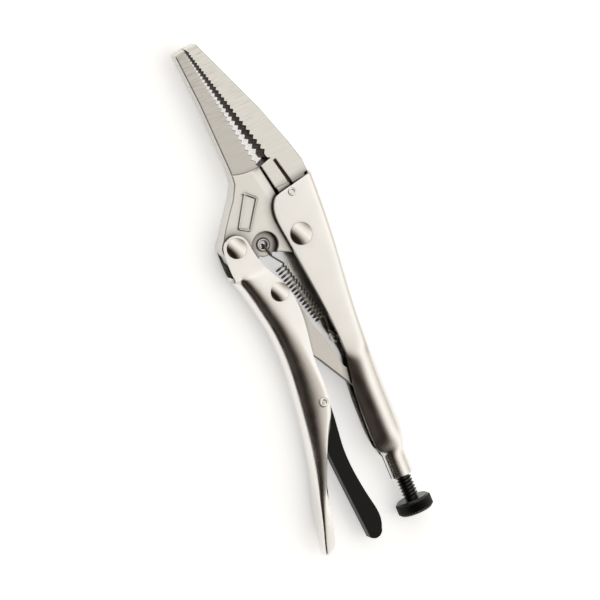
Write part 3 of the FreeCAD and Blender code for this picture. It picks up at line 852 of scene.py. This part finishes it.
def rivet(node, x, y, shank, head, seat, crown):
    """A rivet with a domed head at both ends; sizes are radii and heights in mm."""
    rise = crown - seat - RIM_LOW
    ball = (head ** 2 + rise ** 2) / (2.0 * rise)
    rim = math.asin(head / ball)
    outline = [(ball * math.sin(rim * part), crown - ball * (1.0 - math.cos(rim * part)))
               for part in HEAD_PARTS]
    outline += [(head, seat - RIM_LOW), (head - RIM_TUCK, seat - RIM_UNDER),
                (shank, seat - RIM_UNDER)]
    return piece_from(spun(both_ends(outline), x, y), node + "_turned", "rivet_steel",
                      body_of(node), [node], 50.0)


CHEEK, BULGE = 7.3, 7.6
rivet("main_rivet", 0.0, 0.0, 3.2, 4.85, CHEEK, 8.78)
rivet("jaw_rivet", LUG_X, LUG_Y, 3.0, 4.45, CHEEK, 8.78)
rivet("link_rivet", LINK_X, LINK_Y, 2.8, 4.2, BULGE, 9.08)

# %% [markdown]
# The two pins are staked: a punch spreads each end into a ring with a
# dimple, so the outline of a pin has a lip and a hollow.

# %% Staked pins
STAKED_END = ((0.0, -0.45), (0.3, -0.4), (0.55, 0.05), (0.75, 0.15), (0.95, 0.05),
              (1.0, -0.12), (1.0, -0.6))


def staked_pin(node, x, y, radius, seat):
    """A pin whose ends are spread by a punch."""
    outline = [(part * radius, seat + height) for part, height in STAKED_END]
    return piece_from(spun(both_ends(outline), x, y, 32), node + "_staked", "rivet_steel",
                      body_of(node), [node], 60.0)


staked_pin("jaw_pin", 18.1, -3.2, 1.75, CHEEK)
staked_pin("lever_pin", LEVER_X, LEVER_Y, 2.0, 8.5)

# %% [markdown]
# ## Return spring
#
# Spring wire is a round section carried along a helix.  A curve with a bevel
# could draw it, but Spin does exactly what a coiling machine does: it turns
# the section about the spring's axis and shifts it a little at every step.

# %% Wire tools
WIRE, WIRE_SIDES = 0.42, 10


def straight_wire(mesh, start, end):
    """A tube of spring wire between two points on the spring's own axes."""
    run = end - start
    turn = run.to_track_quat("Z", "Y").to_matrix().to_4x4()
    bmesh.ops.create_cone(mesh, cap_ends=True, segments=WIRE_SIDES, radius1=WIRE,
                          radius2=WIRE, depth=run.length,
                          matrix=Matrix.Translation((start + end) / 2.0) @ turn)


def wire_ring(mesh, centre, radius, turns, steps, shift, axis):
    """Spins a round wire section about an axis, shifting it at every step."""
    rim = bmesh.ops.create_circle(mesh, segments=WIRE_SIDES, radius=WIRE)["verts"]
    edges = list({edge for vert in rim for edge in vert.link_edges})
    if axis == "X":
        bmesh.ops.translate(mesh, vec=(centre, radius, 0.0), verts=rim)
        line = (1.0, 0.0, 0.0)
    else:
        bmesh.ops.rotate(mesh, matrix=Matrix.Rotation(math.pi / 2.0, 3, "Y"), verts=rim)
        bmesh.ops.translate(mesh, vec=(centre, 0.0, radius), verts=rim)
        line = (0.0, 1.0, 0.0)
    bmesh.ops.spin(mesh, geom=rim + edges, cent=(centre, 0.0, 0.0), axis=line,
                   dvec=(shift, 0.0, 0.0), angle=2.0 * math.pi * turns, steps=steps,
                   use_merge=shift == 0.0)


print("spring wire of", 2.0 * WIRE, "mm")

# %% [markdown]
# The spring has a close coil and an eye at each end, joined by short straight
# tails.  One eye hangs in the movable jaw and the other on the fixed handle.
# The piece rides on no body and stays where it is built.

# %% Return spring
COIL, PITCH, TURNS, COIL_START, STEPS_PER_TURN = 2.2, 1.85, 16, 12.2, 20
EYE, EYE_RADIUS = Vector((1.5, 16.0, 0.0)), 3.2
ANCHOR, ANCHOR_RADIUS = Vector((-48.0, 2.0, 0.0)), 1.9
SPAN = (ANCHOR - EYE).length
COIL_END = COIL_START + PITCH * TURNS

spring_mesh = bmesh.new()
wire_ring(spring_mesh, COIL_START, COIL, TURNS, TURNS * STEPS_PER_TURN,
          PITCH / STEPS_PER_TURN, "X")
wire_ring(spring_mesh, EYE_RADIUS, EYE_RADIUS, 1, 32, 0.0, "Y")
wire_ring(spring_mesh, SPAN - ANCHOR_RADIUS, ANCHOR_RADIUS, 1, 24, 0.0, "Y")
straight_wire(spring_mesh, Vector((2.0 * EYE_RADIUS, 0.0, 0.0)),
              Vector((COIL_START, COIL, 0.0)))
straight_wire(spring_mesh, Vector((COIL_END, COIL, 0.0)),
              Vector((SPAN - 2.0 * ANCHOR_RADIUS, 0.0, 0.0)))
bmesh.ops.holes_fill(spring_mesh, edges=spring_mesh.edges, sides=WIRE_SIDES)
bmesh.ops.rotate(spring_mesh, verts=spring_mesh.verts, matrix=Matrix.Rotation(
    math.atan2(ANCHOR.y - EYE.y, ANCHOR.x - EYE.x), 3, "Z"))
bmesh.ops.translate(spring_mesh, vec=EYE, verts=spring_mesh.verts)
bmesh.ops.recalc_face_normals(spring_mesh, faces=spring_mesh.faces)
spring = piece_from(spring_mesh, "return_spring_coil", "spring_wire", None, ["return_spring"],
                    60.0)
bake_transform(spring)

# %% [markdown]
# ## Spring tongue
#
# The spring's lower eye hangs on a tongue of sheet inside the fixed handle.
# Two circles are bridged into a washer, the outer one is drawn down to the
# handle's web, and the flat shape is extruded to its thickness.

# %% Tongue
TONGUE, TONGUE_HOLE, TONGUE_HALF, WEB_INSIDE = 2.4, 1.25, 1.2, -9.0
OUTER_RING, TONGUE_NECK = 2.0, 0.5
tongue_mesh = bmesh.new()
bmesh.ops.create_circle(tongue_mesh, segments=32, radius=TONGUE)
bmesh.ops.create_circle(tongue_mesh, segments=32, radius=TONGUE_HOLE)
bmesh.ops.bridge_loops(tongue_mesh, edges=tongue_mesh.edges)
for vert in tongue_mesh.verts:
    if vert.co.length > OUTER_RING and vert.co.y < -0.1:
        if abs(vert.co.x) > TONGUE_NECK:
            vert.co.x = math.copysign(TONGUE, vert.co.x)
        vert.co.y = WEB_INSIDE - ANCHOR.y
bmesh.ops.recalc_face_normals(tongue_mesh, faces=tongue_mesh.faces)
plate = bmesh.ops.extrude_face_region(tongue_mesh, geom=tongue_mesh.faces[:])["geom"]
bmesh.ops.translate(tongue_mesh, vec=(0.0, 0.0, 2.0 * TONGUE_HALF),
                    verts=[v for v in plate if isinstance(v, bmesh.types.BMVert)])
bmesh.ops.translate(tongue_mesh, vec=ANCHOR - Vector((0.0, 0.0, TONGUE_HALF)),
                    verts=tongue_mesh.verts)
bmesh.ops.recalc_face_normals(tongue_mesh, faces=tongue_mesh.faces)
piece_from(tongue_mesh, "spring_tongue", "dull_plate", "fixed_side")

# %% [markdown]
# ## Adjusting screw
#
# The screw is a plain core with a ridge on it.  The ridge is a triangle
# carried along a helix, like the groove a lathe tool cuts, only raised.
# A bump texture would be cheaper, but a thread shows in the outline.

# %% Screw
SCREW_TIP, KNOB_FRONT, KNOB_END = -78.1, -126.0, -132.0
CORE, CREST, RIDGE, RIDGE_START, CORE_SPARE = 2.8, 3.5, 0.66, 1.2, 0.5
THREAD_PITCH, THREAD_STEPS, THREAD_TURNS = 1.5, 24, 30


def along_axis(mesh, verts, x):
    """Turns upright geometry onto the screw's axis, at this place along it."""
    bmesh.ops.rotate(mesh, matrix=Matrix.Rotation(math.pi / 2.0, 3, "Y"), verts=verts)
    bmesh.ops.translate(mesh, vec=(x, SCREW_Y, 0.0), verts=verts)


screw_mesh = bmesh.new()
core = bmesh.ops.create_cone(screw_mesh, cap_ends=True, segments=32, radius1=CORE,
                             radius2=CORE, depth=SCREW_TIP - KNOB_FRONT + CORE_SPARE)["verts"]
along_axis(screw_mesh, core, (SCREW_TIP + KNOB_FRONT) / 2.0)
ridge = bmesh.ops.create_circle(screw_mesh, segments=3, radius=RIDGE)["verts"]
ridge_edges = list({edge for vert in ridge for edge in vert.link_edges})
bmesh.ops.translate(screw_mesh, verts=ridge,
                    vec=(KNOB_FRONT + RIDGE_START, SCREW_Y + CREST - RIDGE, 0.0))
bmesh.ops.spin(screw_mesh, geom=ridge + ridge_edges, axis=(1.0, 0.0, 0.0),
               cent=(0.0, SCREW_Y, 0.0), dvec=(THREAD_PITCH / THREAD_STEPS, 0.0, 0.0),
               angle=2.0 * math.pi * THREAD_TURNS, steps=THREAD_TURNS * THREAD_STEPS,
               use_merge=False)
bmesh.ops.holes_fill(screw_mesh, edges=screw_mesh.edges, sides=3)
bmesh.ops.recalc_face_normals(screw_mesh, faces=screw_mesh.faces)
piece_from(screw_mesh, "adjusting_screw_thread", "black_oxide", "adjusting_screw",
           ["adjusting_screw"], 30.0)

# %% [markdown]
# The knob's grip is a diamond knurl, which two slanted wheels press into the
# turned blank.  Drawing every diamond by hand would be slow.  Instead, a net
# of squares is poked, which puts a point in every square, and the old net is
# dissolved, which leaves diamonds.  Poking those raises the points that the
# fingers feel.

# %% Knurl
KNOB, KNURL_DEPTH, KNURLS, KNURL_ROWS, KNOB_RIM = 8.0, 0.6, 36, 4, 0.6
knob_mesh = bmesh.new()
bmesh.ops.create_cone(knob_mesh, cap_ends=False, segments=KNURLS,
                      radius1=KNOB - KNURL_DEPTH, radius2=KNOB - KNURL_DEPTH,
                      depth=KNOB_FRONT - KNOB_END - 2.0 * KNOB_RIM)
uprights = [e for e in knob_mesh.edges if abs(e.verts[0].co.z - e.verts[1].co.z) > 0.1]
bmesh.ops.subdivide_edges(knob_mesh, edges=uprights, cuts=KNURL_ROWS - 1, use_grid_fill=True)
rims = [[e for e in knob_mesh.edges if e.is_boundary and e.verts[0].co.z * side > 0.0]
        for side in (1.0, -1.0)]
net = [e for e in knob_mesh.edges if not e.is_boundary]
bmesh.ops.poke(knob_mesh, faces=knob_mesh.faces, offset=0.0)
bmesh.ops.dissolve_edges(knob_mesh, edges=net, use_verts=False)
diamonds = [f for f in knob_mesh.faces if len(f.verts) == 4]
for peak in bmesh.ops.poke(knob_mesh, faces=diamonds, offset=0.0)["verts"]:
    peak.co.xy = peak.co.xy.normalized() * KNOB
print(len(diamonds), "diamonds in the knurl")

# %% [markdown]
# Both rims of the band are drawn inwards to a chamfer and closed by a flat
# face, as the knob is turned before it is knurled.

# %% Knob
for rim, side in zip(rims, (1.0, -1.0)):
    loop = bmesh.ops.extrude_edge_only(knob_mesh, edges=rim)["geom"]
    for vert in (v for v in loop if isinstance(v, bmesh.types.BMVert)):
        vert.co.xy *= (KNOB - KNURL_DEPTH - KNOB_RIM) / (KNOB - KNURL_DEPTH)
        vert.co.z += side * KNOB_RIM
bmesh.ops.holes_fill(knob_mesh, edges=knob_mesh.edges, sides=KNURLS)
bmesh.ops.recalc_face_normals(knob_mesh, faces=knob_mesh.faces)
along_axis(knob_mesh, knob_mesh.verts, (KNOB_FRONT + KNOB_END) / 2.0)
piece_from(knob_mesh, "knurled_knob", "black_oxide", "adjusting_screw", crease=15.0)

# %% [markdown]
# ## Small features of the movable jaw
#
# Forging leaves a shallow frame on the jaw's side.  It is kept empty here.  A
# flat panel gets round corners from a vertex bevel, and three insets draw the
# frame: up the outer slope, across the top and down the inner slope.

# %% Forged frame
FRAME_CORNERS = ((26.6, 15.9), (21.6, 10.6), (8.9, 19.4), (12.4, 24.9))
FRAME_STEPS = ((0.5, 0.65), (0.3, 0.0), (1.0, -0.75))
JAW_SIDE, SUNK_BY, CORNER_ROUND = 4.7, 0.2, 0.9
frame_mesh = bmesh.new()
frame_mesh.faces.new([frame_mesh.verts.new((x, y, JAW_SIDE - SUNK_BY))
                      for x, y in FRAME_CORNERS])
bmesh.ops.bevel(frame_mesh, geom=frame_mesh.verts[:], offset=CORNER_ROUND, segments=3,
                profile=0.5, affect="VERTICES", material=-1)
panel = max(frame_mesh.faces, key=lambda face: face.calc_area())
if panel.normal.z < 0.0:
    panel.normal_flip()
for inwards, upwards in FRAME_STEPS:
    bmesh.ops.inset_region(frame_mesh, faces=[panel], thickness=inwards, depth=upwards,
                           use_boundary=True, use_even_offset=True)
piece_from(frame_mesh, "forged_frame", "ground_jaw", "movable_jaw", crease=25.0)

# %% [markdown]
# The hole for the spring's eye has a raised rim on both sides of the ear, a
# small turned ring like the rivets.

# %% Rims of the spring's hole
EAR_RIM = [(1.72, 1.35), (1.72, 1.9), (1.95, 2.12), (2.5, 2.12), (2.9, 1.85), (3.1, 1.35),
           (1.72, 1.35)]
for side, where in ((1.0, "near"), (-1.0, "far")):
    rim_mesh = spun([(radius, side * height) for radius, height in EAR_RIM], EYE.x, EYE.y, 40)
    piece_from(rim_mesh, "ear_rim_" + where, "ground_jaw", "movable_jaw", crease=60.0)

# %% [markdown]
# ## Table
#
# The tool lies on white paper.  The paper glows a little by itself, as if
# lamps stood all round it, which keeps it white round the metal and gives
# the lower bends something bright to mirror.

# %% Table
TABLE_REACH, TABLE_GLOW = 3.0, 0.42
table_mesh = bpy.data.meshes.new("table")
sheet = bmesh.new()
bmesh.ops.create_grid(sheet, x_segments=1, y_segments=1, size=TABLE_REACH)
sheet.to_mesh(table_mesh)
sheet.free()
table = bpy.data.objects.new("table", table_mesh)
bpy.context.scene.collection.objects.link(table)
paper, _, paper_shader = new_material("white_paper", "FAFAFA", 0.0, 0.9)
paper_shader.inputs["Emission Color"].default_value = colour("FFFFFF")
paper_shader.inputs["Emission Strength"].default_value = TABLE_GLOW
table_mesh.materials.append(paper)
print("table", 2.0 * TABLE_REACH, "m wide")

# %% [markdown]
# ## Light
#
# One softbox gives the soft shadow on the table.  It is hidden from glossy
# rays, because its square would burn out on the flat polished sides.


# %% Softbox
def softbox(name, position, size, power):
    """A square lamp at a place in metres that faces the tool."""
    lamp = bpy.data.lights.new(name, "AREA")
    lamp.size = size
    lamp.energy = power
    item = bpy.data.objects.new(name, lamp)
    bpy.context.scene.collection.objects.link(item)
    item.location = position
    item.rotation_euler = (-Vector(position)).to_track_quat("-Z", "Y").to_euler()
    item.visible_glossy = False
    print(name, "of", power, "W")


softbox("top_light", (-0.1, -0.25, 1.3), 0.8, 1.7)

# %% [markdown]
# Polished metal shows the room more than itself.  A white room with one dark
# side, over the open side of the tool, draws the dark bands along its bends.
# The room is only a colour ramp on the world, read by how far each direction
# points to the dark side, with a lighter strip there like a distant window.

# %% Room
ROOM_SHADES = [(-1.0, "6E6862"), (-0.86, "B4AEA6"), (-0.62, "F0ECE6"), (-0.3, "FFFEFC"),
               (-0.06, "E6E2DC"), (0.12, "C6C0B8"), (0.26, "8C857D"), (0.46, "2A2220"),
               (0.72, "1E1815"), (0.84, "4A433D"), (0.93, "241E1A"), (1.0, "241E1A")]
DARK_SIDE = Vector((-0.42, 0.907, 0.0))
ROOM_STRENGTH = 1.24


def studio_room(shades):
    """World light whose shade depends on how far a direction points to the dark side."""
    room = bpy.data.worlds.new("studio_room")
    room.use_nodes = True
    tree = room.node_tree
    way = add(tree, "ShaderNodeTexCoord").outputs["Generated"]
    turned = add(tree, "ShaderNodeVectorMath", {"operation": "DOT_PRODUCT", 1: DARK_SIDE},
                 {0: way})
    side = add(tree, "ShaderNodeMapRange", {"From Min": -1.0, "From Max": 1.0},
               {"Value": turned.outputs["Value"]})
    ramp = add(tree, "ShaderNodeValToRGB", None, {"Fac": side.outputs["Result"]})
    stops = ramp.color_ramp.elements
    stops.remove(stops[1])
    for index, (along, shade) in enumerate(shades):
        stop = stops[0] if index == 0 else stops.new((along + 1.0) / 2.0)
        stop.position = (along + 1.0) / 2.0
        stop.color = colour(shade)
    background = tree.nodes["Background"]
    background.inputs["Strength"].default_value = ROOM_STRENGTH
    tree.links.new(ramp.outputs["Color"], background.inputs["Color"])
    return room


bpy.context.scene.world = studio_room(ROOM_SHADES)
bpy.context.scene.view_settings.view_transform = "Standard"
print("the room has", len(ROOM_SHADES), "shades")
